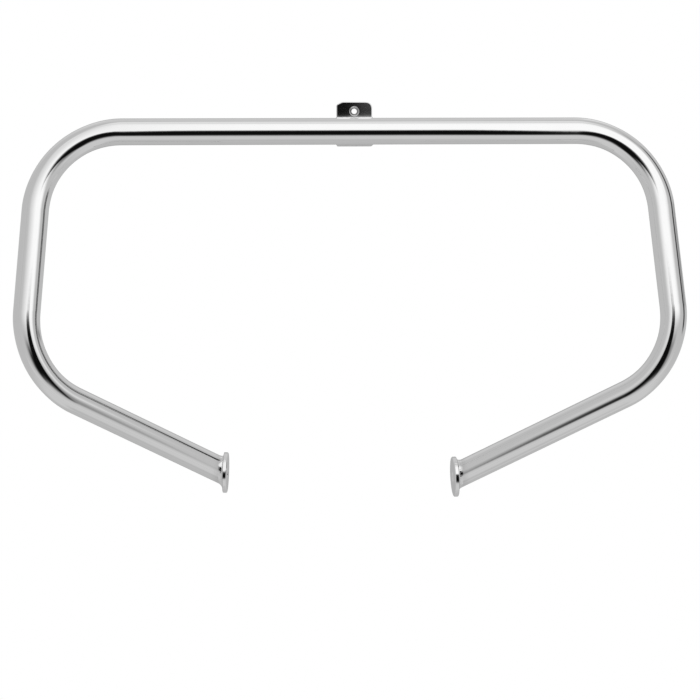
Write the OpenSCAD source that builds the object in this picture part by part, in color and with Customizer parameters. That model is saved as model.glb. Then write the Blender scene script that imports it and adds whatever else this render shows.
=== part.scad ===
// Engine guard: one chromed steel tube bent round the front of a motorcycle, with a turned foot
// welded to each end and a stamped bracket behind the middle of the top bar.
// +X points to the guard's right as seen from the front, +Y to the rear, +Z up.
// The origin is the centre of the bracket's hole, halfway through the plate.

/* [Tube] */
// Outside diameter of the tube
tube_d = 31.75; // [25.4:0.05:35]
// Wall of the tube
tube_wall = 2.5; // [1.5:0.1:4]
// Radius of every bend, measured to the middle of the tube
bend_r = 103; // [80:1:115]
// How much thinner the tube is drawn in a bend, on the radius
bend_draw = 0.15; // [0.1:0.01:0.25]

/* [Top bar and legs] */
// Half of the top bar, from its middle to the corner of the centre lines
bar_half = 366; // [300:1:420]
// How far the lower corner stands out past the upper one
leg_out = 23.5; // [0:0.5:60]
// How far the lower corner comes forward of the top bar
leg_forward = 33.2; // [0:0.2:60]
// How far the lower corner lies below the top bar
leg_drop = 286.6; // [250:0.2:340]

/* [Arms] */
// Angle at which an arm drops below the level, in degrees
arm_drop = 25.1; // [20:0.1:30]
// Angle at which an arm sweeps to the rear, in degrees
arm_sweep = 26.8; // [20:0.1:30]
// Left arm, from the lower corner to the middle of its foot
left_arm = 293.6; // [250:0.2:330]
// Right arm, from the lower corner to the middle of its foot
right_arm = 317; // [250:0.2:330]

/* [Feet] */
// How far a foot's disc stands out past the tube's radius
disc_lip = 9.1; // [8:0.1:14]
// Thickness of the disc
disc_t = 5.2; // [4:0.1:9]
// Chamfer round the seating face
face_chamfer = 0.9; // [0.3:0.1:1.8]
// Chamfer round the back of the disc
back_chamfer = 0.5; // [0.2:0.1:1]
// Angle at which both faces look down, in degrees
foot_lean = 2.4; // [0:0.1:6]
// Angle at which the left face turns to the front, in degrees
left_turn = 4.6; // [-3:0.1:6]
// Angle at which the right face turns to the front, in degrees
right_turn = 0.7; // [-3:0.1:6]
// Diameter of the tapped hole, drilled for a 12 mm thread
tap_d = 10.2; // [6.8:0.1:12]
// Width of the countersink round the tapped hole
tap_countersink = 1.5; // [0.5:0.1:2]
// Wall of the threaded boss behind the disc
boss_wall = 3.9; // [2.5:0.1:4.5]
// Space kept between the boss and the bore of the tube
boss_gap = 0.8; // [0.5:0.1:2]

/* [Foot welds] */
// Reach of the weld along the tube
weld_up_tube = 6.5; // [4:0.1:9]
// Reach of the weld over the disc
weld_over_disc = 3; // [2:0.1:5]
// Extra reach on the side where the weld flares out: below the left foot, above the right one
weld_flare = 4.2; // [0:0.1:6]
// Bare edge left round the disc behind the weld
weld_edge = 0.9; // [0.6:0.1:2]

/* [Centre bracket] */
// Width of the plate
plate_w = 43; // [36:0.5:60]
// Thickness of the plate
plate_t = 4; // [3:0.1:6]
// Height of the hole above the middle of the top bar
hole_up = 26; // [25:0.5:36]
// Height of the plate above the hole
plate_above_hole = 11; // [9:0.5:20]
// How far the plate reaches below the middle of the top bar
plate_below_bar = 16.2; // [14:0.1:22]
// How far the bracket sits to the right of the bar's middle
bracket_offset = 6.2; // [-40:0.1:40]
// Diameter of the bolt hole
hole_d = 6.6; // [5.5:0.1:10.5]
// Width of the countersink round the hole
hole_countersink = 2.5; // [0.5:0.1:3]
// Depth of the countersink
hole_countersink_depth = 1.8; // [0.5:0.1:2]
// Width of the cut-off left corner
corner_cut_w = 7; // [3:0.1:10]
// Height of the cut-off left corner
corner_cut_h = 3.4; // [2:0.1:6]
// Radius of the rounded right corner
corner_round = 7.5; // [3:0.1:9]

/* [Bracket welds] */
// How far above the tube the upper weld climbs the plate
weld_climb = 3.1; // [1.5:0.1:3.5]
// How far the welds run past each side of the plate
weld_past_side = 2.6; // [0:0.1:4]
// Where a weld's face meets the tube, in degrees from the line where tube and plate touch
weld_wrap = 60; // [50:1:66]
// Gap left open between tube and plate behind each weld
weld_root = 0.3; // [0.2:0.05:0.6]

/* [Hidden] */
$fn = 96;
LEFT = -1;
RIGHT = 1;
chrome = "gainsboro";

tube_r = tube_d / 2;
bore_r = tube_r - tube_wall;
disc_r = tube_r + disc_lip;
tap_r = tap_d / 2;
boss_r = tap_r + boss_wall;
boss_longest = 12;    // a boss is never longer than this, however square the foot sits
arm_overrun = 60;     // an arm is drawn this far past its foot before it is cut to length
bend_lap = 3;         // a straight tapers over this length inside the bends at its ends
weld_least = 0.6;     // a foot weld always reaches this far over the disc
weld_sides = 60;      // facets round a foot weld
weld_steps = 6;       // facets across a foot weld
weld_fill = 0.3;      // how full a foot weld is, from 0, deeply hollow, to 1, flat
weld_touch_r = tube_r / cos(180 / weld_sides);    // the weld's facets touch the tube at their middles
bar_y = -(tube_r + plate_t / 2);
bar_z = -hole_up;
eps = 0.01;

function unit(v) = v / norm(v);
function turn_of(side) = side == LEFT ? left_turn : right_turn;
function arm_of(side) = side == LEFT ? left_arm : right_arm;

// Corners of the centre lines, the way an arm runs, and the middle of each foot's disc
function upper_corner(side) = [side * bar_half - bracket_offset, bar_y, bar_z];
function lower_corner(side) = upper_corner(side) + [side * leg_out, -leg_forward, -leg_drop];
function arm_dir(side) =
    [-side * cos(arm_drop) * cos(arm_sweep), cos(arm_drop) * sin(arm_sweep), -sin(arm_drop)];
function foot_mid(side) = lower_corner(side) + arm_of(side) * arm_dir(side);
function face_dir(side) = unit([-side, -tan(turn_of(side)), -tan(foot_lean)]);

// A right-handed frame at a point, with its Z axis along dir and its X axis square to ref
module at_frame(point, dir, ref) {
    x = unit(cross(ref, dir));
    y = cross(dir, x);
    multmatrix([[x[0], y[0], dir[0], point[0]],
                [x[1], y[1], dir[1], point[1]],
                [x[2], y[2], dir[2], point[2]],
                [0, 0, 0, 1]]) children();
}

module at_foot(side) {
    at_frame(foot_mid(side), face_dir(side), [0, 0, 1]) children();
}

// A straight rod from a to b. It runs into the bends at its ends by the lap, and tapers there to
// below their radius, so that its shoulder crosses the bend's surface.
module straight_rod(a, b, r) {
    long = norm(b - a);
    tip_r = r - 2 * bend_draw;
    at_frame(a, unit(b - a), [0, 1, 0]) rotate_extrude()
        polygon([[0, -bend_lap], [tip_r, -bend_lap], [r, 0], [r, long],
                 [tip_r, long + bend_lap], [0, long + bend_lap]]);
}

// Angle of the bend at a corner, and the length of straight that it takes up on each side
function bend_angle(before, corner, after) =
    acos(unit(corner - before) * unit(after - corner));
function bend_reach(before, corner, after) = bend_r * tan(bend_angle(before, corner, after) / 2);

// The bend at a corner, coming from before and going on to after. Bending draws the tube thinner,
// so its ends lie inside the straights.
module bent_rod(before, corner, after, r) {
    along = unit(corner - before);
    leaving = unit(after - corner);
    inward = unit(leaving - (leaving * along) * along);
    up = cross(-inward, along);
    centre = corner - bend_reach(before, corner, after) * along + bend_r * inward;
    multmatrix([[-inward[0], along[0], up[0], centre[0]],
                [-inward[1], along[1], up[1], centre[1]],
                [-inward[2], along[2], up[2], centre[2]],
                [0, 0, 0, 1]])
        rotate_extrude(angle = bend_angle(before, corner, after))
            translate([bend_r, 0]) circle(r - bend_draw);
}

// Bends, leg and arm of one side
module side_rod(side, r) {
    top = upper_corner(side);
    low = lower_corner(side);
    end = foot_mid(side) + arm_overrun * arm_dir(side);
    other = upper_corner(-side);
    down = unit(low - top);
    bent_rod(other, top, low, r);
    straight_rod(top + bend_reach(other, top, low) * down, low - bend_reach(top, low, end) * down, r);
    bent_rod(top, low, end, r);
    straight_rod(low + bend_reach(top, low, end) * arm_dir(side), end, r);
}

// A rod along the whole of the tube's middle line: one as thick as the tube, one to bore it out
module whole_rod(r) {
    left = upper_corner(LEFT);
    right = upper_corner(RIGHT);
    straight_rod(left + [bend_reach(right, left, lower_corner(LEFT)), 0, 0],
                 right - [bend_reach(left, right, lower_corner(RIGHT)), 0, 0], r);
    side_rod(LEFT, r);
    side_rod(RIGHT, r);
}

// Space in front of the back of a foot's disc, which cuts the arm's end to its slant
module beyond_foot(side) {
    at_foot(side) translate([-arm_overrun, -arm_overrun, -disc_t / 2])
        cube([2 * arm_overrun, 2 * arm_overrun, 2 * arm_overrun]);
}

module main_tube() {
    color(chrome) difference() {
        whole_rod(tube_r);
        whole_rod(bore_r);
        beyond_foot(LEFT);
        beyond_foot(RIGHT);
    }
}

// The boss is as long as the slant of the tube's bore leaves room for. The slanted bore runs through
// the foot's middle, and the boss starts half a disc behind it.
function slant(side) = acos(arm_dir(side) * face_dir(side));
function boss_len(side) =
    min(boss_longest,
        (bore_r - boss_gap - boss_r * cos(slant(side))) / sin(slant(side)) - disc_t / 2);

// Turned disc with a tapped boss that stands inside the tube's end
module foot(side) {
    front = disc_t / 2;
    back = -disc_t / 2;
    boss_end = back - boss_len(side);
    color(chrome) at_foot(side) rotate_extrude()
        polygon([[tap_r, front - tap_countersink], [tap_r + tap_countersink, front],
                 [disc_r - face_chamfer, front], [disc_r, front - face_chamfer],
                 [disc_r, back + back_chamfer], [disc_r - back_chamfer, back],
                 [boss_r, back], [boss_r, boss_end], [tap_r, boss_end]]);
}

module left_foot() { foot(LEFT); }
module right_foot() { foot(RIGHT); }

// Points of a foot weld. The tube meets the disc's back along an ellipse, and at each place round
// it the weld runs in a hollow curve from the tube to the disc.
function tube_side_x(side) = unit(cross([0, 1, 0], arm_dir(side)));
function tube_side_y(side) = cross(arm_dir(side), tube_side_x(side));
function outward(side, a) = cos(a) * tube_side_x(side) + sin(a) * tube_side_y(side);
// Distance along the arm, from the foot's middle, at which a line at radius r meets the disc's back
function meets_disc(side, a, r) =
    (-disc_t / 2 - r * (outward(side, a) * face_dir(side))) / (arm_dir(side) * face_dir(side));
function on_disc(side, a, r) =
    foot_mid(side) + r * outward(side, a) + meets_disc(side, a, r) * arm_dir(side);
// From 0 to 1, largest where the weld flares: below the left foot and above the right one
function flare_share(side, a) = pow(max(0, side * outward(side, a)[2]), 2);
function weld_foot_point(side, a) =
    let (middle = foot_mid(side) - disc_t / 2 * face_dir(side),
         spoke = on_disc(side, a, weld_touch_r) - middle,
         wanted = norm(spoke) + weld_over_disc + weld_flare * flare_share(side, a),
         allowed = max(disc_r - weld_edge, norm(spoke) + weld_least))
    middle + unit(spoke) * min(wanted, allowed);
function weld_curve(a, corner, b, t) =
    let (pull = corner + weld_fill * ((a + b) / 2 - corner))
    (1 - t) * (1 - t) * a + 2 * t * (1 - t) * pull + t * t * b;
function weld_ring(side, a) =
    let (corner = on_disc(side, a, weld_touch_r),
         toe = weld_foot_point(side, a),
         top = corner - weld_up_tube * arm_dir(side))
    concat([for (k = [0 : weld_steps]) weld_curve(top, corner, toe, k / weld_steps)], [corner]);

// Hollow weld between the tube and the back of a disc
module foot_weld(side) {
    rings = [for (k = [0 : weld_sides - 1]) weld_ring(side, 360 * k / weld_sides)];
    row = len(rings[0]);
    faces = [for (k = [0 : weld_sides - 1], j = [0 : row - 1])
        let (a = k * row + j, b = k * row + (j + 1) % row,
             c = ((k + 1) % weld_sides) * row + (j + 1) % row, d = ((k + 1) % weld_sides) * row + j)
        each [[a, b, c], [a, c, d]]];
    color(chrome) polyhedron([for (ring = rings) each ring], faces);
}

module left_foot_weld() { foot_weld(LEFT); }
module right_foot_weld() { foot_weld(RIGHT); }

// Outline of the plate, seen from the front, with the hole at the origin
module plate_outline() {
    half = plate_w / 2;
    top = plate_above_hole;
    bottom = -hole_up - plate_below_bar;
    polygon([[-half, bottom], [half, bottom], [half, top - corner_round],
             [half - corner_round, top - corner_round], [half - corner_round, top],
             [corner_cut_w - half, top], [-half, top - corner_cut_h]]);
    translate([half - corner_round, top - corner_round]) circle(corner_round);
}

// The plate stands up and down behind the bar and touches it along one line
module centre_bracket() {
    color(chrome) difference() {
        translate([0, plate_t / 2, 0]) rotate([90, 0, 0]) linear_extrude(plate_t) plate_outline();
        rotate([90, 0, 0]) translate([0, 0, -plate_t]) cylinder(h = 2 * plate_t, d = hole_d);
        rotate([90, 0, 0]) translate([0, 0, plate_t / 2 - hole_countersink_depth])
            cylinder(h = hole_countersink_depth + eps, r1 = hole_d / 2, r2 = hole_d / 2 + hole_countersink + eps);
    }
}

// A weld in the groove between the tube and the plate, drawn with the tube's middle at the origin
// and the plate on the right: it fills from its root up to a face from the tube to height top
module groove_weld(top) {
    root = sqrt(tube_r * tube_r - pow(tube_r - weld_root, 2));
    difference() {
        polygon([[tube_r, root], [tube_r, top], [tube_r * cos(weld_wrap), tube_r * sin(weld_wrap)],
                 [bore_r * cos(weld_wrap), root]]);
        circle(tube_r);
    }
}

// A groove weld laid along the bar behind the bracket, its ends cut back towards the plate
module bar_weld(top, flip) {
    long = plate_w + 2 * weld_past_side;
    color(chrome) translate([0, bar_y, bar_z]) mirror([0, 0, flip])
        difference() {
            translate([long / 2, 0, 0]) rotate([90, 0, -90]) mirror([1, 0, 0])
                linear_extrude(long) groove_weld(top);
            for (end = [LEFT, RIGHT])
                translate([end * plate_w / 2, tube_r, -tube_d]) mirror([end == LEFT ? 1 : 0, 0, 0])
                    rotate([0, 0, 45]) translate([0, -tube_d, 0]) cube([tube_d, 2 * tube_d, 3 * tube_d]);
        }
}

module bracket_weld_upper() { bar_weld(tube_r + weld_climb, 0); }
module bracket_weld_lower() { bar_weld(plate_below_bar, 1); }

main_tube();
left_foot();
right_foot();
left_foot_weld();
right_foot_weld();
centre_bracket();
bracket_weld_upper();
bracket_weld_lower();
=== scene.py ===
# %% [markdown]
# # A chromed engine guard
#
# The real object is one steel tube, bent round the front of a motorcycle. A turned disc is welded
# to each end, a stamped plate is welded behind the middle of the top bar, and the whole thing is
# polished and chromed. Chrome has hardly any colour of its own: what we see is the studio it
# mirrors. So this lesson has three parts: exact smooth surfaces, a thin skin of polish and plating
# flaws, and a studio worth mirroring.

# %% Load the frame
import math

import bpy
import numpy as np
from mathutils import Matrix


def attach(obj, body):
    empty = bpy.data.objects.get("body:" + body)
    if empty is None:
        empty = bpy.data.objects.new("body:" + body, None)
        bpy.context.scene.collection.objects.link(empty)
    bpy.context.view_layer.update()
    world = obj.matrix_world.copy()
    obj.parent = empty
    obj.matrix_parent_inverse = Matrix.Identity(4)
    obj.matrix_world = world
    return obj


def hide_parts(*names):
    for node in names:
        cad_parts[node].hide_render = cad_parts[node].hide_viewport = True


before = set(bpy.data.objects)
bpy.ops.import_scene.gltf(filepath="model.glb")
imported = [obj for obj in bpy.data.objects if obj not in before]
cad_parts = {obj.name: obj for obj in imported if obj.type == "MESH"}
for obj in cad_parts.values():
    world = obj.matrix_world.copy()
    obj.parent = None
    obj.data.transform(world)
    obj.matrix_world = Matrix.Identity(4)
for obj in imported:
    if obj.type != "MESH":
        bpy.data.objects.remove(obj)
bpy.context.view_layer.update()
scene = bpy.context.scene
print("CAD nodes:", sorted(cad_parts))

# %% [markdown]
# ## The camera
#
# The camera stands level, a little to the guard's left and a little below its middle. Its place
# was worked out from the tube's edges in the picture: the top bar is seen a little from below and
# the feet a little from above. A long lens keeps the shape calm, and the picture is a hair rolled.

# %% Camera
MM = 0.001
PICTURE_PX = 700
FOCUS_PX = 2001.5                        # focal length, in pixels of that picture
camera_place = np.array([-176.9, -2405.8, -287.6]) * MM
camera_right = np.array([0.99749, -0.07005, -0.01023])
camera_up = np.array([0.01020, -0.00072, 0.99995])

camera_data = bpy.data.cameras.new("studio_camera")
camera_data.sensor_width = 36
camera_data.lens = FOCUS_PX / PICTURE_PX * camera_data.sensor_width
camera_data.clip_end = 100
camera = bpy.data.objects.new("studio_camera", camera_data)
backwards = np.cross(camera_right, camera_up)
turn = Matrix(np.column_stack([camera_right, camera_up, backwards]).tolist()).to_4x4()
camera.matrix_world = Matrix.Translation(camera_place.tolist()) @ turn
scene.collection.objects.link(camera)
scene.camera = camera
print(f"lens {camera_data.lens:.1f} mm at {np.round(camera_place, 3)} m")

# %% [markdown]
# ## The sizes, as the workshop drawing has them
#
# These are the sizes of the solid model, in millimetres. The origin is the middle of the bracket's
# hole. The tube's middle line is given by its corners: where the straight pieces would meet if
# there were no bends. A bending machine works from exactly such a list.

# %% Sizes
TUBE_R, BORE_R, BEND_R = 15.875, 13.375, 103.0
BEND_DRAW = 0.15                         # the tube is drawn thinner by this much in a bend
BAR_HALF, LEG_OUT, LEG_FORWARD, LEG_DROP = 366.0, 23.5, 33.2, 286.6
BRACKET_OFFSET = 6.2                     # the bracket sits this far right of the bar's middle
ARM_DROP, ARM_SWEEP = math.radians(25.1), math.radians(26.8)
ARM_LENGTH = {"left": 293.6, "right": 317.0}
SIDE = {"left": -1, "right": 1}
DISC_R, DISC_T, FOOT_LEAN = 24.975, 5.2, math.radians(2.4)
FOOT_TURN = {"left": math.radians(4.6), "right": math.radians(0.7)}
FACE_CHAMFER, BACK_CHAMFER = 0.9, 0.5
TAP_R, COUNTERSINK, BOSS_R = 5.1, 1.5, 9.0
BOSS_LENGTH = {"left": 6.314, "right": 6.479}
PLATE_W, PLATE_T, PLATE_TOP, PLATE_FOOT = 43.0, 4.0, 11.0, -42.2
CORNER_CUT_W, CORNER_CUT_H = 7, 3.4
HOLE_R, HOLE_SINK, HOLE_SINK_DEPTH = 3.3, 2.5, 1.8
BAR_Y, BAR_Z = -(TUBE_R + PLATE_T / 2), -26.0


def unit(v):
    """A vector, or each row of an array, divided by its own length."""
    v = np.asarray(v, float)
    return v / np.linalg.norm(v, axis=-1, keepdims=True)


def upper_corner(side):
    """Corner of the middle line at one end of the top bar."""
    return np.array([SIDE[side] * BAR_HALF - BRACKET_OFFSET, BAR_Y, BAR_Z])


def lower_corner(side):
    """The upper corner, moved outwards, forwards and down along the leg."""
    return upper_corner(side) + np.array([SIDE[side] * LEG_OUT, -LEG_FORWARD, -LEG_DROP])


def arm_dir(side):
    """An arm runs inwards, to the rear and down: its drop and its sweep as two angles."""
    return np.array([-SIDE[side] * math.cos(ARM_DROP) * math.cos(ARM_SWEEP),
                     math.cos(ARM_DROP) * math.sin(ARM_SWEEP), -math.sin(ARM_DROP)])


def foot_mid(side):
    """Middle of a foot's disc: the lower corner plus the arm's length along the arm."""
    return lower_corner(side) + ARM_LENGTH[side] * arm_dir(side)


def face_dir(side):
    """Outward normal of a foot's seating face: inwards, turned a little to the front and down."""
    return unit([-SIDE[side], -math.tan(FOOT_TURN[side]), -math.tan(FOOT_LEAN)])


for side in SIDE:
    print(side, "foot at", np.round(foot_mid(side), 1), "facing", np.round(face_dir(side), 3))

# %% [markdown]
# ## From a grid of points to a mesh
#
# Every piece here is a surface worked out on a grid: one parameter runs along, the other runs
# round. One helper turns such a grid into a mesh. It can close the grid on itself in the long
# direction, or close each end with a fan, so that every piece is watertight. A chromed surface
# shows the smallest error in its normals, so the grids are fine and smooth shaded, and only real
# corners stay sharp.

# %% Grid to mesh
SHARP_ANGLE = math.radians(38)           # an edge sharper than this isn't shaded smooth


def signed_volume(mesh):
    """Sum of the tetrahedra from the origin to each triangle: positive if faces point outwards."""
    mesh.calc_loop_triangles()
    corners = np.empty(len(mesh.loop_triangles) * 3, np.int32)
    mesh.loop_triangles.foreach_get("vertices", corners)
    places = np.empty(len(mesh.vertices) * 3)
    mesh.vertices.foreach_get("co", places)
    a, b, c = places.reshape(-1, 3)[corners.reshape(-1, 3)].transpose(1, 0, 2)
    return float(np.einsum("ij,ij->i", a, np.cross(b, c)).sum() / 6)


def solid_from_grid(name, grid, close_along=False, close_ends=False):
    """Joins each point of the grid to its neighbours. The grid is (along, round, xyz) in
    millimetres and closed round; along it is closed too, or each end gets a fan to the end ring's
    mean point."""
    along, around = grid.shape[:2]
    points = grid.reshape(-1, 3)
    i = np.arange(along if close_along else along - 1)[:, None]
    j = np.arange(around)[None, :]
    here, there, beside = i * around, (i + 1) % along * around, (j + 1) % around
    quads = np.stack([here + j, here + beside, there + beside, there + j], -1)
    faces = quads.reshape(-1, 4).tolist()
    if close_ends:
        points = np.vstack([points, grid[0].mean(0), grid[-1].mean(0)])
        j, j_next = np.arange(around), (np.arange(around) + 1) % around
        first, last, base = len(points) - 2, len(points) - 1, (along - 1) * around
        faces += np.stack([np.full(around, first), j_next, j], -1).tolist()
        faces += np.stack([np.full(around, last), base + j, base + j_next], -1).tolist()
    mesh = bpy.data.meshes.new(name)
    mesh.from_pydata((points * MM).tolist(), [], faces)
    mesh.update()
    if signed_volume(mesh) < 0:
        mesh.flip_normals()
    mesh.polygons.foreach_set("use_smooth", np.ones(len(mesh.polygons), bool))
    mesh.set_sharp_from_angle(angle=SHARP_ANGLE)
    piece = bpy.data.objects.new(name, mesh)
    scene.collection.objects.link(piece)
    return piece


def keep_values(piece, name, values):
    """Stores a number or a vector for every point of the piece, for its material to read. The two
    points that close the ends, if there are any, get the value of the last point."""
    values = np.asarray(values, float)
    kind = "FLOAT_VECTOR" if values.shape[-1] == 3 else "FLOAT"
    values = values.reshape(-1, 3) if kind == "FLOAT_VECTOR" else values.reshape(-1, 1)
    missing = len(piece.data.vertices) - len(values)
    values = np.vstack([values, np.repeat(values[-1:], missing, 0)])
    store = piece.data.attributes.new(name, kind, "POINT")
    store.data.foreach_set("vector" if kind == "FLOAT_VECTOR" else "value", values.ravel())


def stand_for(piece, *nodes):
    """The piece rides on the body and replaces the solid nodes."""
    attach(piece, "root")
    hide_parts(*nodes)
    triangles = len(piece.data.loop_triangles)
    volume = signed_volume(piece.data) * 1e9
    print(f"{piece.name}: {triangles} triangles, {volume:.0f} mm3, stands for {', '.join(nodes)}")


# %% [markdown]
# ## Shader nodes written as sums
#
# A material is easier to read as a formula than as a web of nodes. One small class holds a socket
# and knows plus, minus, times, divided by and to the power of; each adds its Math node. Any other
# node comes from one function: its type, its settings, then the values or links of its sockets.

# %% Sockets and sums
class Wire:
    """A shader socket that can stand in a sum. The tree is the node tree that it belongs to."""

    def __init__(self, tree, socket):
        self.tree, self.socket = tree, socket

    def node(self, kind, settings, sockets, out=0):
        """Adds a node of this kind; settings come first, then values or wires of its inputs."""
        return add_node(self.tree, kind, settings, sockets, out)

    def math(self, operation, *others):
        sockets = dict(enumerate((self, *others)))
        return self.node("ShaderNodeMath", {"operation": operation}, sockets)

    def __add__(self, other):
        return self.math("ADD", other)

    def __sub__(self, other):
        return self.math("SUBTRACT", other)

    def __rsub__(self, other):
        return self.math("MULTIPLY", -1.0).math("ADD", other)

    def __mul__(self, other):
        return self.math("MULTIPLY", other)

    def __truediv__(self, other):
        return self.math("DIVIDE", other)

    def __pow__(self, other):
        return self.math("POWER", other)

    __radd__ = __add__

    def ramp(self, low, high, to_low=0.0, to_high=1.0):
        """Goes smoothly from to_low to to_high while the value goes from low to high."""
        return self.node("ShaderNodeMapRange", {"interpolation_type": "SMOOTHSTEP"},
                         {"Value": self, "From Min": low, "From Max": high,
                          "To Min": to_low, "To Max": to_high})


def add_node(tree, kind, settings, sockets, out=0):
    """One node of this kind in the tree, and the wire of its output if it has any."""
    node = tree.nodes.new(kind)
    for name, value in settings.items():
        setattr(node, name, value)
    for name, value in sockets.items():
        if isinstance(value, Wire):
            tree.links.new(value.socket, node.inputs[name])
        else:
            node.inputs[name].default_value = value
    return Wire(tree, node.outputs[out]) if len(node.outputs) else None


# %% [markdown]
# ## The middle line
#
# A straight line meets an arc without a corner, because the arc starts where its centre is square
# to the line. We sample the whole line finely, and keep for each sample the direction of travel,
# the direction towards the bend's centre, and how far into a bend it is. Bending squashes a tube a
# little across the bend, and this last number drives that.

# %% Middle line
def middle_line(corners, step_straight=14.0, step_bend=1.4):
    """Points, directions, bend-centre directions and bend share along the corners' rounded line.
    A bend takes up BEND_R times the tangent of half its angle on each side of its corner. The
    bend share rises smoothly from 0 to 1 over the first third of a bend and falls over the last."""
    parts, cursor, inward = [], corners[0], None
    for before, corner, after in zip(corners[:-2], corners[1:-1], corners[2:]):
        a, b = unit(corner - before), unit(after - corner)
        angle = math.acos(a @ b)
        start = corner - BEND_R * math.tan(angle / 2) * a
        inward_now = unit(b - (b @ a) * a)
        count = max(2, round(np.linalg.norm(start - cursor) / step_straight))
        t = np.linspace(0, 1, count, endpoint=False)[:, None]
        lead_in = inward_now if inward is None else inward
        parts.append((cursor + t * (start - cursor), np.tile(a, (count, 1)),
                      unit((1 - t) * lead_in + t * inward_now), np.zeros(count)))
        count = round(BEND_R * angle / step_bend)
        t = np.linspace(0, angle, count, endpoint=False)[:, None]
        centre = start + BEND_R * inward_now
        points = centre - BEND_R * inward_now * np.cos(t) + BEND_R * a * np.sin(t)
        share = np.clip(3 * np.minimum(t, angle - t)[:, 0] / angle, 0, 1)
        parts.append((points, np.cos(t) * a + np.sin(t) * inward_now,
                      np.cos(t) * inward_now - np.sin(t) * a, share * share * (3 - 2 * share)))
        cursor = centre - BEND_R * inward_now * math.cos(angle) + BEND_R * a * math.sin(angle)
        inward = math.cos(angle) * inward_now - math.sin(angle) * a
    count = round(np.linalg.norm(corners[-1] - cursor) / step_straight) + 1
    t = np.linspace(0, 1, count)[:, None]
    last = corners[-1] - cursor
    parts.append((cursor + t * last, np.tile(unit(last), (count, 1)),
                  np.tile(inward, (count, 1)), np.zeros(count)))
    return [np.concatenate(p) for p in zip(*parts)]


corners = [foot_mid("left"), lower_corner("left"), upper_corner("left"),
           upper_corner("right"), lower_corner("right"), foot_mid("right")]
line, heading, bend_centre, bend_share = middle_line(corners)
steps = np.linalg.norm(np.diff(line, axis=0), axis=1)
distance = np.concatenate([[0], np.cumsum(steps)])
print(f"middle line {distance[-1]:.0f} mm long in {len(line)} samples")

# %% [markdown]
# ## The main tube
#
# A ring of points is carried along the middle line, its axes set by the bend. In the bends the
# ring becomes a slight oval, narrower across the bend, as a real bent tube is. Both ends are cut
# to the slant of the feet: near an end the ring's points slide along the tube, until at the end
# they lie in the plane of the disc's back. The bore is a second, smaller tube, and the two are
# joined at the ends, so the piece is a real pipe and not a rod.

# %% Main tube
RING = np.linspace(0, 2 * np.pi, 112, endpoint=False)
END_BLEND = 40.0                         # the slant of an end fades out over this much tube


def end_slide(points, side):
    """How far each point moves along the arm to reach the plane of the disc's back."""
    normal, along = face_dir(side), arm_dir(side)
    plane = foot_mid(side) - DISC_T / 2 * normal
    return ((plane - points) @ normal / (along @ normal))[:, None] * along


def tube_skin(radius, squash=0.03):
    """Ring at each sample: cosine along the bend's centre direction, sine across it. In a bend the
    first is shortened by the squash and the second stretched by a third of it."""
    across = np.cross(heading, bend_centre)
    share = bend_share[:, None, None]
    r = radius - BEND_DRAW * share
    grid = (line[:, None] + r * (1 - squash * share) * np.cos(RING)[:, None] * bend_centre[:, None]
            + r * (1 + squash / 3 * share) * np.sin(RING)[:, None] * across[:, None])
    for end, side, reach in ((0, "left", distance), (-1, "right", distance[-1] - distance)):
        fade = np.clip(1 - reach / END_BLEND, 0, 1)[:, None, None]
        grid = grid + fade * end_slide(grid[end], side)
    return grid


def unrolled(radius):
    """Each point's place if the tube were straight: its distance along, then where it is on the
    ring."""
    ring = radius * np.stack([np.cos(RING), np.sin(RING)], -1)
    return np.concatenate([np.repeat(distance[:, None, None], len(RING), 1),
                           np.repeat(ring[None], len(distance), 0)], -1)


BORE_STEP = -4                           # back through the bore, with a quarter of the rings
outer, inner = tube_skin(TUBE_R), tube_skin(BORE_R)[::BORE_STEP]
main_tube = solid_from_grid("bent_tube", np.concatenate([outer, inner]), close_along=True)
straight = np.concatenate([unrolled(TUBE_R), unrolled(BORE_R)[::BORE_STEP]])
keep_values(main_tube, "unrolled", straight)
stand_for(main_tube, "main_tube")

# %% [markdown]
# ## Rounded outlines
#
# Turned and stamped parts have no knife edges: every edge has a small round that catches the
# light. This helper rounds the corners of an outline. It also adds a point just outside each
# round, because smooth shading would otherwise bend the reflections over the whole flat beside it.

# %% Rounded outline
def rounded_outline(corners, radii, steps=5, support=0.15):
    """A closed outline with each corner replaced by a quadratic Bezier curve, which starts and ends
    one radius from the corner, with one more point a little further out on each side."""
    corners = np.asarray(corners, float)
    t = np.linspace(0, 1, steps + 1)[:, None]
    pieces = []
    for k, (corner, r) in enumerate(zip(corners, radii)):
        back, on = unit(corners[k - 1] - corner), unit(corners[(k + 1) % len(corners)] - corner)
        curve = ((1 - t) ** 2 * (corner + r * back) + 2 * t * (1 - t) * corner
                 + t ** 2 * (corner + r * on))
        pieces += [corner[None] + (r + support) * back, curve, corner[None] + (r + support) * on]
    return np.vstack(pieces)


# %% [markdown]
# ## The feet
#
# A foot is a disc turned on a lathe, with a short boss on its back that goes up into the tube, and
# an M12 thread through both. The guard is bolted on through these threads. The piece is a profile
# spun round the disc's axis. Only the wall of the hole is more than a spun profile: there the
# radius also depends on the angle, so that the thread climbs by one pitch in each turn.

# %% Feet
THREAD_PITCH, THREAD_DEPTH = 1.75, 0.9
TURN = np.linspace(0, 2 * np.pi, 144, endpoint=False)


def disc_axes(side):
    """Two directions across a foot's face, square to its normal: the first one is level."""
    normal = face_dir(side)
    level = unit(np.cross([0, 0, 1], normal))
    return level, np.cross(normal, level)


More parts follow.
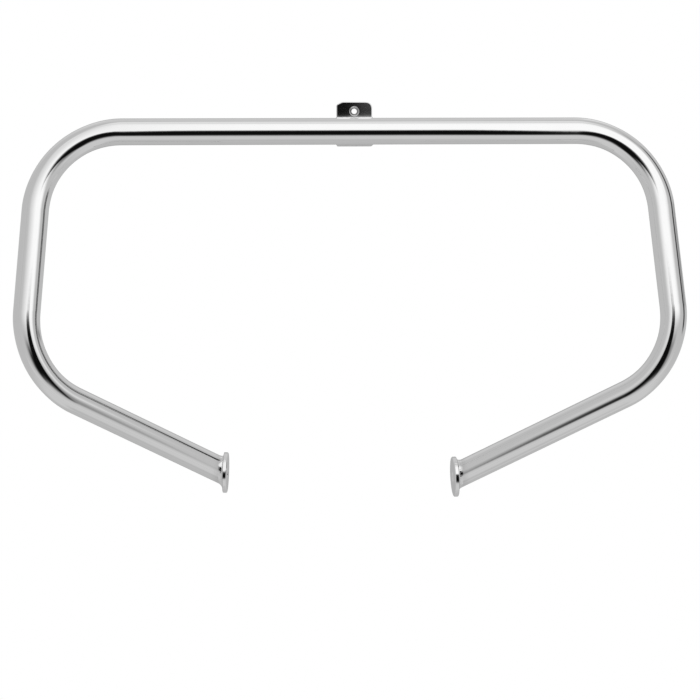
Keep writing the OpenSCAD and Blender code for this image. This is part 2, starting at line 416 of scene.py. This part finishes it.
def thread_radius(height, low, high):
    """Radius of the thread's wall: a wave with flat crests and roots that climbs one pitch a turn,
    and fades out within 0.9 mm of both ends of the hole."""
    phase = (height[:, None] / THREAD_PITCH + TURN / (2 * np.pi)) % 1
    wave = np.clip((1 - np.abs(2 * phase - 1) - 0.15) / 0.75, 0, 1)
    fade = np.clip(np.minimum(height - low, high - height) / 0.9, 0, 1)[:, None]
    return TAP_R + THREAD_DEPTH * wave * fade


def foot_grid(side):
    """The spun profile, then the threaded wall: (row, angle, xyz)."""
    half, boss_end = DISC_T / 2, -DISC_T / 2 - BOSS_LENGTH[side]
    profile = rounded_outline(
        [[TAP_R, half - COUNTERSINK], [TAP_R + COUNTERSINK, half], [DISC_R - FACE_CHAMFER, half],
         [DISC_R, half - FACE_CHAMFER], [DISC_R, BACK_CHAMFER - half],
         [DISC_R - BACK_CHAMFER, -half], [BOSS_R, -half], [BOSS_R, boss_end], [TAP_R, boss_end]],
        [0.12, 0.2, 0.35, 0.35, 0.2, 0.2, 0.3, 0.4, 0.2])
    wall = np.linspace(boss_end + 0.5, half - COUNTERSINK - 0.4, 72)
    radius = np.concatenate([np.repeat(profile[:, :1], len(TURN), 1),
                             thread_radius(wall, wall[0], wall[-1])])
    height = np.concatenate([profile[:, 1], wall])
    level, steep = disc_axes(side)
    spoke = np.cos(TURN)[:, None] * level + np.sin(TURN)[:, None] * steep
    return foot_mid(side) + radius[..., None] * spoke + height[:, None, None] * face_dir(side)


def foot_values(side, grid):
    """For the finish: each point's radius and height on the lathe, and a zero."""
    flat = grid - foot_mid(side)
    height = flat @ face_dir(side)
    radius = np.linalg.norm(flat - height[..., None] * face_dir(side), axis=-1)
    return np.stack([radius, height, np.zeros_like(radius)], -1)


feet = {}
for side in SIDE:
    grid = foot_grid(side)
    feet[side] = solid_from_grid(f"{side}_foot_disc", grid, close_along=True)
    keep_values(feet[side], "lathe", foot_values(side, grid))
    stand_for(feet[side], f"{side}_foot")

# %% [markdown]
# ## The welds of the feet
#
# Where the slanted tube meets the disc runs a fillet weld. It was ground smooth before plating, so
# it is a hollow curve from the tube to the disc with only a trace of the ripples left. For each
# angle round the tube the weld's section has three corners: one up the tube, one where tube and
# disc meet, and one out on the disc. A quadratic Bezier curve joins the outer two.

# %% Foot welds
WELD_UP_TUBE, WELD_OVER_DISC, WELD_FLARE, WELD_FILL = 6.5, 3.0, 4.2, 0.3
WELD_EDGE, WELD_LEAST = 0.9, 0.6         # bare edge left on the disc, and the bead's least reach
RIPPLE_HIGH, RIPPLES = 0.10, 46
BEAD = np.linspace(0, 2 * np.pi, 360, endpoint=False)


def weld_wave(angle, seed):
    """An uneven hand: three slow waves round the bead, of about a third of a millimetre in all."""
    return (0.18 * np.sin(3 * angle + seed) + 0.11 * np.sin(7 * angle + 2 * seed)
            + 0.06 * np.sin(13 * angle))


def foot_weld_grid(side, steps=18):
    """The section at each angle: corner, toe, curve back to the top: (section, angle, xyz). The
    ripples stand out from the curve by a tenth of a millimetre, most in its middle."""
    along, normal = arm_dir(side), face_dir(side)
    across = unit(np.cross([0, 1, 0], along))
    outward = np.cos(BEAD)[:, None] * across + np.sin(BEAD)[:, None] * np.cross(along, across)
    meets = (-DISC_T / 2 - TUBE_R * (outward @ normal)) / (along @ normal)
    root = foot_mid(side) + TUBE_R * outward + meets[:, None] * along
    top = root - (WELD_UP_TUBE + weld_wave(BEAD, 1.0))[:, None] * along
    middle = foot_mid(side) - DISC_T / 2 * normal
    spoke = root - middle
    reach = np.linalg.norm(spoke, axis=-1)
    flare = np.clip(SIDE[side] * outward[:, 2], 0, 1) ** 2
    out = np.maximum(np.minimum(reach + WELD_OVER_DISC + WELD_FLARE * flare + weld_wave(BEAD, 2.0),
                                DISC_R - WELD_EDGE), reach + WELD_LEAST)
    toe = middle + unit(spoke) * out[:, None]
    pull = root + WELD_FILL * ((top + toe) / 2 - root)
    t = np.linspace(0, 1, steps)[:, None, None]
    curve = (1 - t) ** 2 * toe + 2 * t * (1 - t) * pull + t ** 2 * top
    ripple = (RIPPLE_HIGH * (0.5 + 0.5 * np.cos(RIPPLES * BEAD + 2.5 * t[..., 0]))
              * (4 * t * (1 - t))[..., 0])
    lift = unit((top + toe) / 2 - root)
    sunk = root - 0.4 * lift
    return np.concatenate([sunk[None], curve + ripple[..., None] * lift])


foot_welds = {}
for side in SIDE:
    foot_welds[side] = solid_from_grid(f"{side}_foot_bead", foot_weld_grid(side), close_along=True)
    stand_for(foot_welds[side], f"{side}_foot_weld")

# %% [markdown]
# ## The bracket
#
# A plate is stamped from 4 mm steel, with one corner cut and one rounded, and welded upright behind
# the bar. One bolt goes through its countersunk hole. Its outline is a ring of points round the
# hole, so the whole plate is a grid: round the hole one way, and over the front, the rim, the back
# and the hole's wall the other way. Above the bar the tab leans a little to the front, more on its
# left than on its right, so it mirrors the dark opening of the studio, as in the picture.

# %% Bracket
TAB_LEAN = math.tan(math.radians(6.6))
TAB_TWIST, TWIST_HALF_W = 0.0012, 14     # fall of the lean per mm to the right, out to 14 mm
LEAN_FROM, LEAN_BEND = -7.0, 3           # height at which the lean starts, and how softly


def evenly(outline, count):
    """The closed outline sampled at equal steps of its length."""
    closed = np.vstack([outline, outline[:1]])
    length = np.concatenate([[0], np.cumsum(np.linalg.norm(np.diff(closed, axis=0), axis=1))])
    at = np.linspace(0, length[-1], count, endpoint=False)
    return np.stack([np.interp(at, length, closed[:, k]) for k in (0, 1)], -1)


def bracket_grid():
    """Rows from the hole's front edge over the front face, the rim and the back to the hole's wall.
    A row is the outline moved in by an inset, or a circle, or a mix of the two."""
    w, front, back = PLATE_W / 2, -PLATE_T / 2, PLATE_T / 2
    outline = evenly(rounded_outline(
        [[-w, PLATE_FOOT], [w, PLATE_FOOT], [w, PLATE_TOP],
         [CORNER_CUT_W - w, PLATE_TOP], [-w, PLATE_TOP - CORNER_CUT_H]],
        [2.0, 2.0, 8.6, 1.6, 1.6], steps=14), 280)
    ahead = np.roll(outline, -1, 0) - np.roll(outline, 1, 0)
    outward = unit(np.stack([ahead[:, 1], -ahead[:, 0]], -1))
    spoke = unit(outline)
    rim = [(1.0, front), (0.7, front), (0.32, front + 0.1), (0.1, front + 0.32), (0.0, front + 0.7),
           (0.0, back - 0.6), (0.08, back - 0.25), (0.25, back - 0.08), (0.6, back), (0.9, back)]
    rim_rows = [(outline - inset * outward, y) for inset, y in rim]
    sunk, sink_end = HOLE_R + HOLE_SINK, front + HOLE_SINK_DEPTH
    mouth = [(sunk + 0.15, front), (sunk + 0.3, front)]
    wall = [(HOLE_R + 0.6, back), (HOLE_R + 0.3, back), (HOLE_R + 0.08, back - 0.1),
            (HOLE_R, back - 0.3), (HOLE_R, sink_end + 0.1), (HOLE_R + 0.07, sink_end - 0.05),
            (sunk - 0.28, front + 0.2), (sunk - 0.07, front + 0.05)]
    mouth_rows, wall_rows = ([(r * spoke, y) for r, y in part] for part in (mouth, wall))
    mix = np.linspace(0, 1, 9)[1:-1]
    over_front = [((1 - m) * mouth_rows[-1][0] + m * rim_rows[0][0], front) for m in mix]
    over_back = [((1 - m) * rim_rows[-1][0] + m * wall_rows[0][0], back) for m in mix]
    rows = mouth_rows + over_front + rim_rows + over_back + wall_rows
    grid = np.stack([np.stack([xz[:, 0], np.full(len(xz), y), xz[:, 1]], -1) for xz, y in rows])
    above = grid[..., 2] - LEAN_FROM
    lean = TAB_LEAN - TAB_TWIST * np.clip(grid[..., 0], -TWIST_HALF_W, TWIST_HALF_W)
    grid[..., 1] -= lean * (np.sqrt(above ** 2 + LEAN_BEND ** 2) + above) / 2
    return grid


bracket = solid_from_grid("bracket_plate", bracket_grid(), close_along=True)
stand_for(bracket, "centre_bracket")

# %% [markdown]
# ## The welds of the bracket
#
# Above and below, a bead fills the groove between the round bar and the flat plate, and sticks out
# a little past the plate on both sides. Its section is carried along the bar. Towards both ends it
# shrinks, as a bead does where the welder starts and stops: the upper one along a quarter of an
# ellipse, the lower one along a straight slope from a shoulder.

# %% Bracket welds
ROOT_HIGH, ROOT_ANGLE = 3.07, math.radians(11.2)   # where the groove is 0.3 mm wide
WRAP_ANGLE = math.radians(60)            # where the bead's face meets the tube
BITE = 0.3                               # how far the bead reaches into the plate
SHOULDER_W = 0.8                         # length over which an end rises to its shoulder


def bracket_weld_grid(up, top, taper, power, shoulder, length=48.2, stations=120, steps=14):
    """Section at each place along the bar: along the plate to the top, a curve to the tube, and
    back along the tube. An end first rises to its shoulder. The rest follows
    1 - (1 - distance / taper) to the power, to one over the power: a quarter of an ellipse for 2
    and a straight slope for 1."""
    x = np.linspace(-length / 2 + 0.03, length / 2 - 0.03, stations)
    x = np.sign(x) * (length / 2 - (length / 2 - np.abs(x)) ** 1.5 / (length / 2) ** 0.5)
    near_end = np.clip((length / 2 - np.abs(x)) / taper, 0, 1)
    at_end = np.clip((length / 2 - np.abs(x)) / SHOULDER_W, 0, 1)
    share = (shoulder * np.sqrt(1 - (1 - at_end) ** 2)
             + (1 - shoulder) * (1 - (1 - near_end) ** power) ** (1 / power))[:, None]
    wave = (0.12 * np.sin(0.9 * x) + 0.08 * np.sin(2.3 * x + 1))[:, None] * share
    plate_high = ROOT_HIGH + (top - ROOT_HIGH + wave) * share
    tube_angle = ROOT_ANGLE + (WRAP_ANGLE - ROOT_ANGLE) * share
    in_plate = np.full_like(plate_high, TUBE_R + BITE)
    plate_side = np.stack([in_plate, plate_high], -1)
    plate_root = np.stack([in_plate, np.full_like(plate_high, 2.9)], -1)
    tube_side = (TUBE_R - 0.1) * np.stack([np.cos(tube_angle), np.sin(tube_angle)], -1)
    t = np.linspace(0, 1, steps)[:, None]
    pull = (plate_side + tube_side) / 2 + np.array([0.5, 0.9]) * share[..., None]
    curve = (1 - t) ** 2 * plate_side + 2 * t * (1 - t) * pull + t ** 2 * tube_side
    back = np.linspace(0.8, 0.2, 4)
    angle = ROOT_ANGLE + (tube_angle - ROOT_ANGLE) * back
    hidden = (TUBE_R - 0.4) * np.stack([np.cos(angle), np.sin(angle)], -1)
    section = np.concatenate([plate_root, curve, hidden], 1)
    ripple = 0.05 * np.cos(2 * np.pi * x / 1.9)[:, None] * share
    section[:, 1:1 + steps] *= 1 + (ripple * (4 * t * (1 - t))[:, 0] / TUBE_R)[..., None]
    return np.stack([np.repeat(x[:, None], section.shape[1], 1), BAR_Y + section[..., 0],
                     BAR_Z + up * section[..., 1]], -1)


bracket_welds = {}
for place, up, top, taper, power, shoulder in (("upper", 1, 18.975, 2.6, 2, 0.0),
                                               ("lower", -1, 16.2, 3.4, 1, 0.72)):
    grid = bracket_weld_grid(up, top, taper, power, shoulder)
    bracket_welds[place] = solid_from_grid(f"bracket_bead_{place}", grid, close_ends=True)
    stand_for(bracket_welds[place], f"bracket_weld_{place}")

# %% [markdown]
# ## Chrome
#
# Chrome is a metal with almost no roughness. What makes it look real is what the polisher left:
# very fine marks that run round the tube, where the belt went over it, a slow waviness of the
# plating, and a rougher finish in the corners at the welds. There, and in the bracket's
# countersink,
# the colour is darkened too: that is painted shade. The marks are noise that is many times finer in
# one direction than in another. On the welds it is the same in all. On the tube the noise is read
# from the straight tube's coordinates, so that the marks follow the bends.

# %% Chrome
CHROME = (0.90, 0.90, 0.90, 1.0)
# HAZE_AND_PAINTED_SHADE is a darker chrome colour: it paints shade in the corners at the welds and
# in the countersink, and gives the beads their hazy finish and the stains their tone.
HAZE_AND_PAINTED_SHADE = (0.50, 0.50, 0.50, 1.0)
CLOUD_SCALE, PEEL_SCALE = 38.0, 140.0    # waves per metre of the stains and of the waviness
PEEL_HEIGHT = 0.00002


def noise(place, stretch, scale, detail=3.0):
    """Noise from 0 to 1 over the place, after its three numbers are scaled by the stretch."""
    scaled = place.node("ShaderNodeVectorMath", {"operation": "MULTIPLY"}, {0: place, 1: stretch})
    return scaled.node("ShaderNodeTexNoise", {"noise_dimensions": "3D"},
                       {"Vector": scaled, "Scale": scale, "Detail": detail, "Roughness": 0.55})


def chrome(name, place_of, marks, mark_height, haze_and_shade_of, rough=0.035):
    """The plated finish. place_of gives the coordinates in metres, marks is the stretch of the
    polishing marks, and haze_and_shade_of gives a mask that is 1 where the colour is darkened and
    the finish
    rougher: painted shade in corners and recesses, a hazy finish on the beads."""
    material = bpy.data.materials.new(name)
    material.use_nodes = True
    tree = material.node_tree
    tree.nodes.clear()
    place = place_of(tree)
    lines = noise(place, marks, 1.0, 5.0)
    cloud = noise(place, (1, 1, 1), CLOUD_SCALE, 2.0)
    peel = noise(place, (1, 1, 1), PEEL_SCALE, 2.0)
    dimming = haze_and_shade_of(tree)
    # Where the mask is 1 the colour goes towards HAZE_AND_PAINTED_SHADE: painted shade in the
    # corners at the welds and in the countersink, a hazy finish on the beads; the cloud adds real
    # stains.
    stains_haze_and_shade = (dimming + (cloud - 0.5) * 0.10).math("MAXIMUM", 0.0)
    colour = place.node("ShaderNodeMix", {"data_type": "RGBA"}, {0: stains_haze_and_shade, 6: CHROME, 7: HAZE_AND_PAINTED_SHADE}, 2)
    roughness = rough + lines.ramp(0.35, 0.75) * 0.03 + cloud.ramp(0.4, 0.7) * 0.015 + dimming * 0.14
    wavy = place.node("ShaderNodeBump", {}, {"Strength": 1.0, "Distance": PEEL_HEIGHT,
                                             "Height": peel})
    marked = place.node("ShaderNodeBump", {}, {"Strength": 1.0, "Distance": mark_height,
                                               "Height": lines, "Normal": wavy})
    shader = place.node("ShaderNodeBsdfPrincipled", {}, {
        "Base Color": colour, "Metallic": 1.0, "Roughness": roughness, "Normal": marked})
    shader.node("ShaderNodeOutputMaterial", {}, {"Surface": shader})
    return material


def object_place(tree):
    """Object coordinates, in metres."""
    return add_node(tree, "ShaderNodeTexCoord", {}, {}, "Object")


def stored_place(name):
    """The stored vector of each point, turned from millimetres into metres."""
    def place(tree):
        stored = add_node(tree, "ShaderNodeAttribute", {"attribute_name": name}, {}, "Vector")
        return stored.node("ShaderNodeVectorMath", {"operation": "SCALE"}, {0: stored, "Scale": MM})
    return place


def steady_haze(amount):
    """The same haze all over, broken up by a small noise."""
    def dimming(tree):
        return noise(object_place(tree), (1, 1, 1), 420.0).ramp(0.3, 0.7) * amount
    return dimming


def end_painted_shade_and_haze(tree):
    """Painted shade on the tube in the corner at each foot's weld: a darker colour, with a rougher
    finish, that grows from 22 mm to 4 mm before each of its ends.
    """
    start, full, length = 22, 4, distance[-1]
    along = add_node(tree, "ShaderNodeAttribute", {"attribute_name": "unrolled"}, {}, "Vector")
    along = along.node("ShaderNodeSeparateXYZ", {}, {0: along}, 0)
    return (along.ramp(start, full) + along.ramp(length - start, length - full)) * 0.35


def back_edge_painted_shade_and_haze(tree):
    """Painted shade on the back edge of a foot's disc, down in the groove beside the weld: a darker
    colour, with a rougher finish.
    """
    lathe = add_node(tree, "ShaderNodeAttribute", {"attribute_name": "lathe"}, {}, "Vector")
    return lathe.node("ShaderNodeSeparateXYZ", {}, {0: lathe}, 1).ramp(-1.7, -2.2) * 0.9


def hole_painted_shade_and_haze(tree):
    """Painted shade in the countersink: a darker colour, with a rougher finish, full within 5.5 mm
    of the hole's axis and gone at 6.1 mm. That axis is the object's own y axis."""
    place = object_place(tree)
    flat = place.node("ShaderNodeVectorMath", {"operation": "MULTIPLY"}, {0: place, 1: (1, 0, 1)})
    radius = flat.node("ShaderNodeVectorMath", {"operation": "LENGTH"}, {0: flat}, "Value")
    return radius.ramp(0.0061, 0.0055)


finishes = {
    "tube": chrome("chrome_tube", stored_place("unrolled"), (620, 42, 42), 0.0000055, end_painted_shade_and_haze),
    "foot": chrome("chrome_foot", stored_place("lathe"), (900, 300, 1), 0.000003, back_edge_painted_shade_and_haze),
    "bead": chrome("chrome_bead", object_place, (260, 260, 260), 0.000007, steady_haze(0.35), 0.06),
    "plate": chrome("chrome_plate", object_place, (900, 900, 60), 0.000006, hole_painted_shade_and_haze, 0.05),
}
pieces_of = {"tube": [main_tube], "plate": [bracket], "foot": feet.values(),
             "bead": [*foot_welds.values(), *bracket_welds.values()]}
for finish, pieces in pieces_of.items():
    for piece in pieces:
        piece.data.materials.append(finishes[finish])
print("finishes:", ", ".join(m.name for m in finishes.values()))

# %% [markdown]
# ## The studio that the chrome mirrors
#
# The picture shows a white room with a large soft white screen in front and above, grey side walls,
# a pale floor and one dark strip to the right. The chrome needs all of them: without dark parts it
# would look like white plastic. The world gives each direction its level of grey. The camera itself
# and glass see plain white, which is the picture's background, and matt surfaces get one plain
# level, so the light on them stays even.

# %% Studio
world = bpy.data.worlds.new("studio")
world.use_nodes = True
scene.world = world
sky = world.node_tree
sky.nodes.clear()
direction = add_node(sky, "ShaderNodeTexCoord", {}, {}, "Generated")
look_x, look_y, look_z = (direction.node("ShaderNodeSeparateXYZ", {}, {0: direction}, k)
                          for k in range(3))
azimuth = look_x.math("ARCTAN2", look_y * -1.0) * math.degrees(1)      # 0 is towards the camera
elevation = look_z.math("MINIMUM", 1.0).math("MAXIMUM", -1.0).math("ARCSINE") * math.degrees(1)


def patch(az, half_az, el, half_el, soft):
    """1 in a window of directions round (az, el), falling to 0 over the soft width in degrees."""
    across = (azimuth - az).math("WRAP", 180.0, -180.0).math("ABSOLUTE")
    upright = (elevation - el).math("ABSOLUTE")
    return (across.ramp(half_az + soft / 2, half_az - soft / 2)
            * upright.ramp(half_el + soft / 2, half_el - soft / 2))


def lay(level, mask, value):
    """The level, changed to the value where the mask is 1."""
    return level + mask * (value - level)


def as_light(level):
    """The light that chrome must mirror to be seen at this level of grey: the screen's own curve,
    undone, and divided by the chrome's reflectance."""
    return ((level + 0.055) / 1.055) ** 2.4 / CHROME[0]


level = elevation.ramp(-30, -60, 0.725, 0.775) + elevation.ramp(-72, -86, 0.0, -0.065)
for az, half_az, el, half_el, soft, value in (
        (180, 45, -56, 26, 30, 0.71),        # the floor behind
        (180, 60, 58, 30, 24, 0.77),         # the wall behind
        (180, 16, 0, 34, 20, 0.66),          # and its darker middle
        (150, 10, 50, 10, 16, 0.88),         # a lamp behind on the right
        (-157, 9, 50, 9, 14, 0.82),          # and a weaker one on the left
        (15, 60, 76, 16, 36, 0.88),          # the ceiling, lit from the front
        (76, 9, 51, 4, 10, 0.62),            # the bent top of the dark strip
        (91, 8, 18, 26, 9, 0.22),            # the dark strip on the right
        (118, 14, 9, 1.5, 6, 0.50)):         # and its foot, seen edge on
    level = lay(level, patch(az, half_az, el, half_el, soft), value)
mirrored = as_light(level)

path = {name: add_node(sky, "ShaderNodeLightPath", {}, {}, name)
        for name in ("Is Camera Ray", "Is Transmission Ray", "Is Glossy Ray")}
plain = 0.70 + look_x * 0.0              # the same in every direction, but a wire
lit = lay(plain, path["Is Glossy Ray"], mirrored.math("MINIMUM", 1.0))
lit = lay(lit, path["Is Camera Ray"].math("MAXIMUM", path["Is Transmission Ray"]), 1.0)
background = lit.node("ShaderNodeBackground", {}, {"Color": lit, "Strength": 1.0})
background.node("ShaderNodeOutputWorld", {}, {"Surface": background})
print("studio world made")

# %% [markdown]
# ## The screen with its dark opening, and the floor
#
# In front of the guard stands a large white screen, and in it is the opening through which the
# camera looks, with the dark room behind it. The two legs and the bar mirror them from different
# places, so they have to be a real surface at a real distance: one card, whose level of grey is
# worked out from the place on it. It is seen by mirrors only. The floor is plain and pale, and
# keeps the guard's shadow. Further away it turns into the same white as the background.

# %% Screen with its opening
SCREEN_HALF_W, SCREEN_HALF_H = 4.2, 3.4
FADE_FROM_W, FADE_FROM_H = 3.0, 2.6      # from here to its edges the screen fades away


def flat_card(name, centre, half_u, half_v):
    """A flat rectangle with its object at its centre, so that Object coordinates start there."""
    u, v = np.meshgrid([-1, 1], [-1, 1])
    points = u[..., None] * np.asarray(half_u) + v[..., None] * np.asarray(half_v)
    mesh = bpy.data.meshes.new(name)
    mesh.from_pydata(points.reshape(-1, 3).tolist(), [], [[0, 1, 3, 2]])
    card = bpy.data.objects.new(name, mesh)
    card.location = centre
    scene.collection.objects.link(card)
    return card


def distance_from(value, middle):
    """How far a wire's value is from the middle."""
    return (value - middle).math("ABSOLUTE")


screen = flat_card("white_screen", (0.0, -1.5, 0.0), (SCREEN_HALF_W, 0, 0), (0, 0, SCREEN_HALF_H))
screen.visible_camera = screen.visible_diffuse = screen.visible_shadow = False
cloth = bpy.data.materials.new("screen_cloth")
cloth.use_nodes = True
tree = cloth.node_tree
tree.nodes.clear()
spot = object_place(tree)
across, height = (spot.node("ShaderNodeSeparateXYZ", {}, {0: spot}, k) for k in (0, 2))

# The light above the opening: a wide glow, a bright core and a round spot at its upper right
glow = (distance_from(across, 0.3) - height * 0.35).ramp(2.3, 1.0) * 0.12
core = distance_from(across, 0.5).ramp(1.7, 0.4) * height.ramp(3.6, 1.2, 0.085, 0.13)
spot_x, spot_z = across - 1.75, height - 1.25
spot_light = (spot_x * spot_x + spot_z * spot_z).ramp(0.75, 0.05) * 0.10
level = (glow + core + spot_light).math("MINIMUM", 0.25) * height.ramp(-0.42, 0.08)
# The cloth itself, a little lighter towards the floor
level = level + height.ramp(-1.4, -2.3, 0.73, 0.78)

# The shade round the opening, then the opening, whose top and foot are lower away from its middle
from_middle = distance_from(across, 0.05)
shade_top = height + from_middle.ramp(0.26, 0.62, 0.12, 0.56)
half_dark = across.ramp(-1.65, -0.85) * across.ramp(1.6, 0.9) * height.ramp(-1.65, -1.15)
level = lay(level, half_dark * shade_top.ramp(0.25, -0.15), 0.55)
opened = across.ramp(-1.2, -0.5) * across.ramp(0.9, 0.45)
top_edge = height + from_middle.ramp(0.24, 0.60, 0.03, 0.62)
foot_edge = height + from_middle.ramp(0.15, 0.60, 1.12, 1.30)
level = lay(level, opened * top_edge.ramp(0.24, -0.24) * foot_edge.ramp(-0.32, 0.32), 0.045)

glowing = spot.node("ShaderNodeEmission", {}, {"Color": as_light(level), "Strength": 1.0})
clear = spot.node("ShaderNodeBsdfTransparent", {}, {})
there = (distance_from(across, 0.0).ramp(SCREEN_HALF_W, FADE_FROM_W)
         * distance_from(height, 0.0).ramp(SCREEN_HALF_H, FADE_FROM_H))
seen = spot.node("ShaderNodeMixShader", {}, {0: there, 1: clear, 2: glowing})
seen.node("ShaderNodeOutputMaterial", {}, {"Surface": seen})
screen.data.materials.append(cloth)

# %% Floor
FLOOR_Z, FLOOR_HALF = -0.90, 12
floor = flat_card("studio_floor", (0.0, 0.0, FLOOR_Z), (FLOOR_HALF, 0, 0), (0, FLOOR_HALF, 0))
floor.visible_glossy = False
paper = bpy.data.materials.new("floor_paper")
paper.use_nodes = True
tree = paper.node_tree
tree.nodes.clear()
spot = object_place(tree)
away = spot.node("ShaderNodeVectorMath", {"operation": "LENGTH"}, {0: spot}, "Value")
camera_ray = add_node(tree, "ShaderNodeLightPath", {}, {}, "Is Camera Ray")
matt = spot.node("ShaderNodeBsdfDiffuse", {}, {"Color": (0.86, 0.86, 0.86, 1.0)})
white_paper = spot.node("ShaderNodeEmission", {}, {"Color": (1.0, 1.0, 1.0, 1.0), "Strength": 1.0})
share = away.ramp(0.35, 1.0) * camera_ray
seen = spot.node("ShaderNodeMixShader", {}, {0: share, 1: matt, 2: white_paper})
seen.node("ShaderNodeOutputMaterial", {}, {"Surface": seen})
floor.data.materials.append(paper)
print("floor at", FLOOR_Z, "m")

# %% [markdown]
# ## The lamps
#
# Two large soft lamps at a plain level give the floor its light and its soft shadow. The chrome
# doesn't mirror them: its white screen is already in the studio, and a second one would be too
# bright.

# %% Lamps
def soft_lamp(name, place, target, size, watts):
    """A square area lamp at the place, turned to the target."""
    data = bpy.data.lights.new(name, "AREA")
    data.energy, data.size = watts, size
    lamp = bpy.data.objects.new(name, data)
    away = unit(np.array(place) - np.array(target))
    side_on = unit(np.cross([0, 1, 0.01], away))
    axes = Matrix(np.column_stack([side_on, np.cross(away, side_on), away]).tolist()).to_4x4()
    lamp.matrix_world = Matrix.Translation(place) @ axes
    lamp.visible_glossy = False
    scene.collection.objects.link(lamp)


AIM = (0, 0, -0.5)
soft_lamp("key_lamp", (-0.7, -1.3, 1.9), AIM, 2.0, 26)
soft_lamp("fill_lamp", (1.4, 0.6, 2.0), AIM, 1.8, 12)

scene.view_settings.view_transform = "Standard"
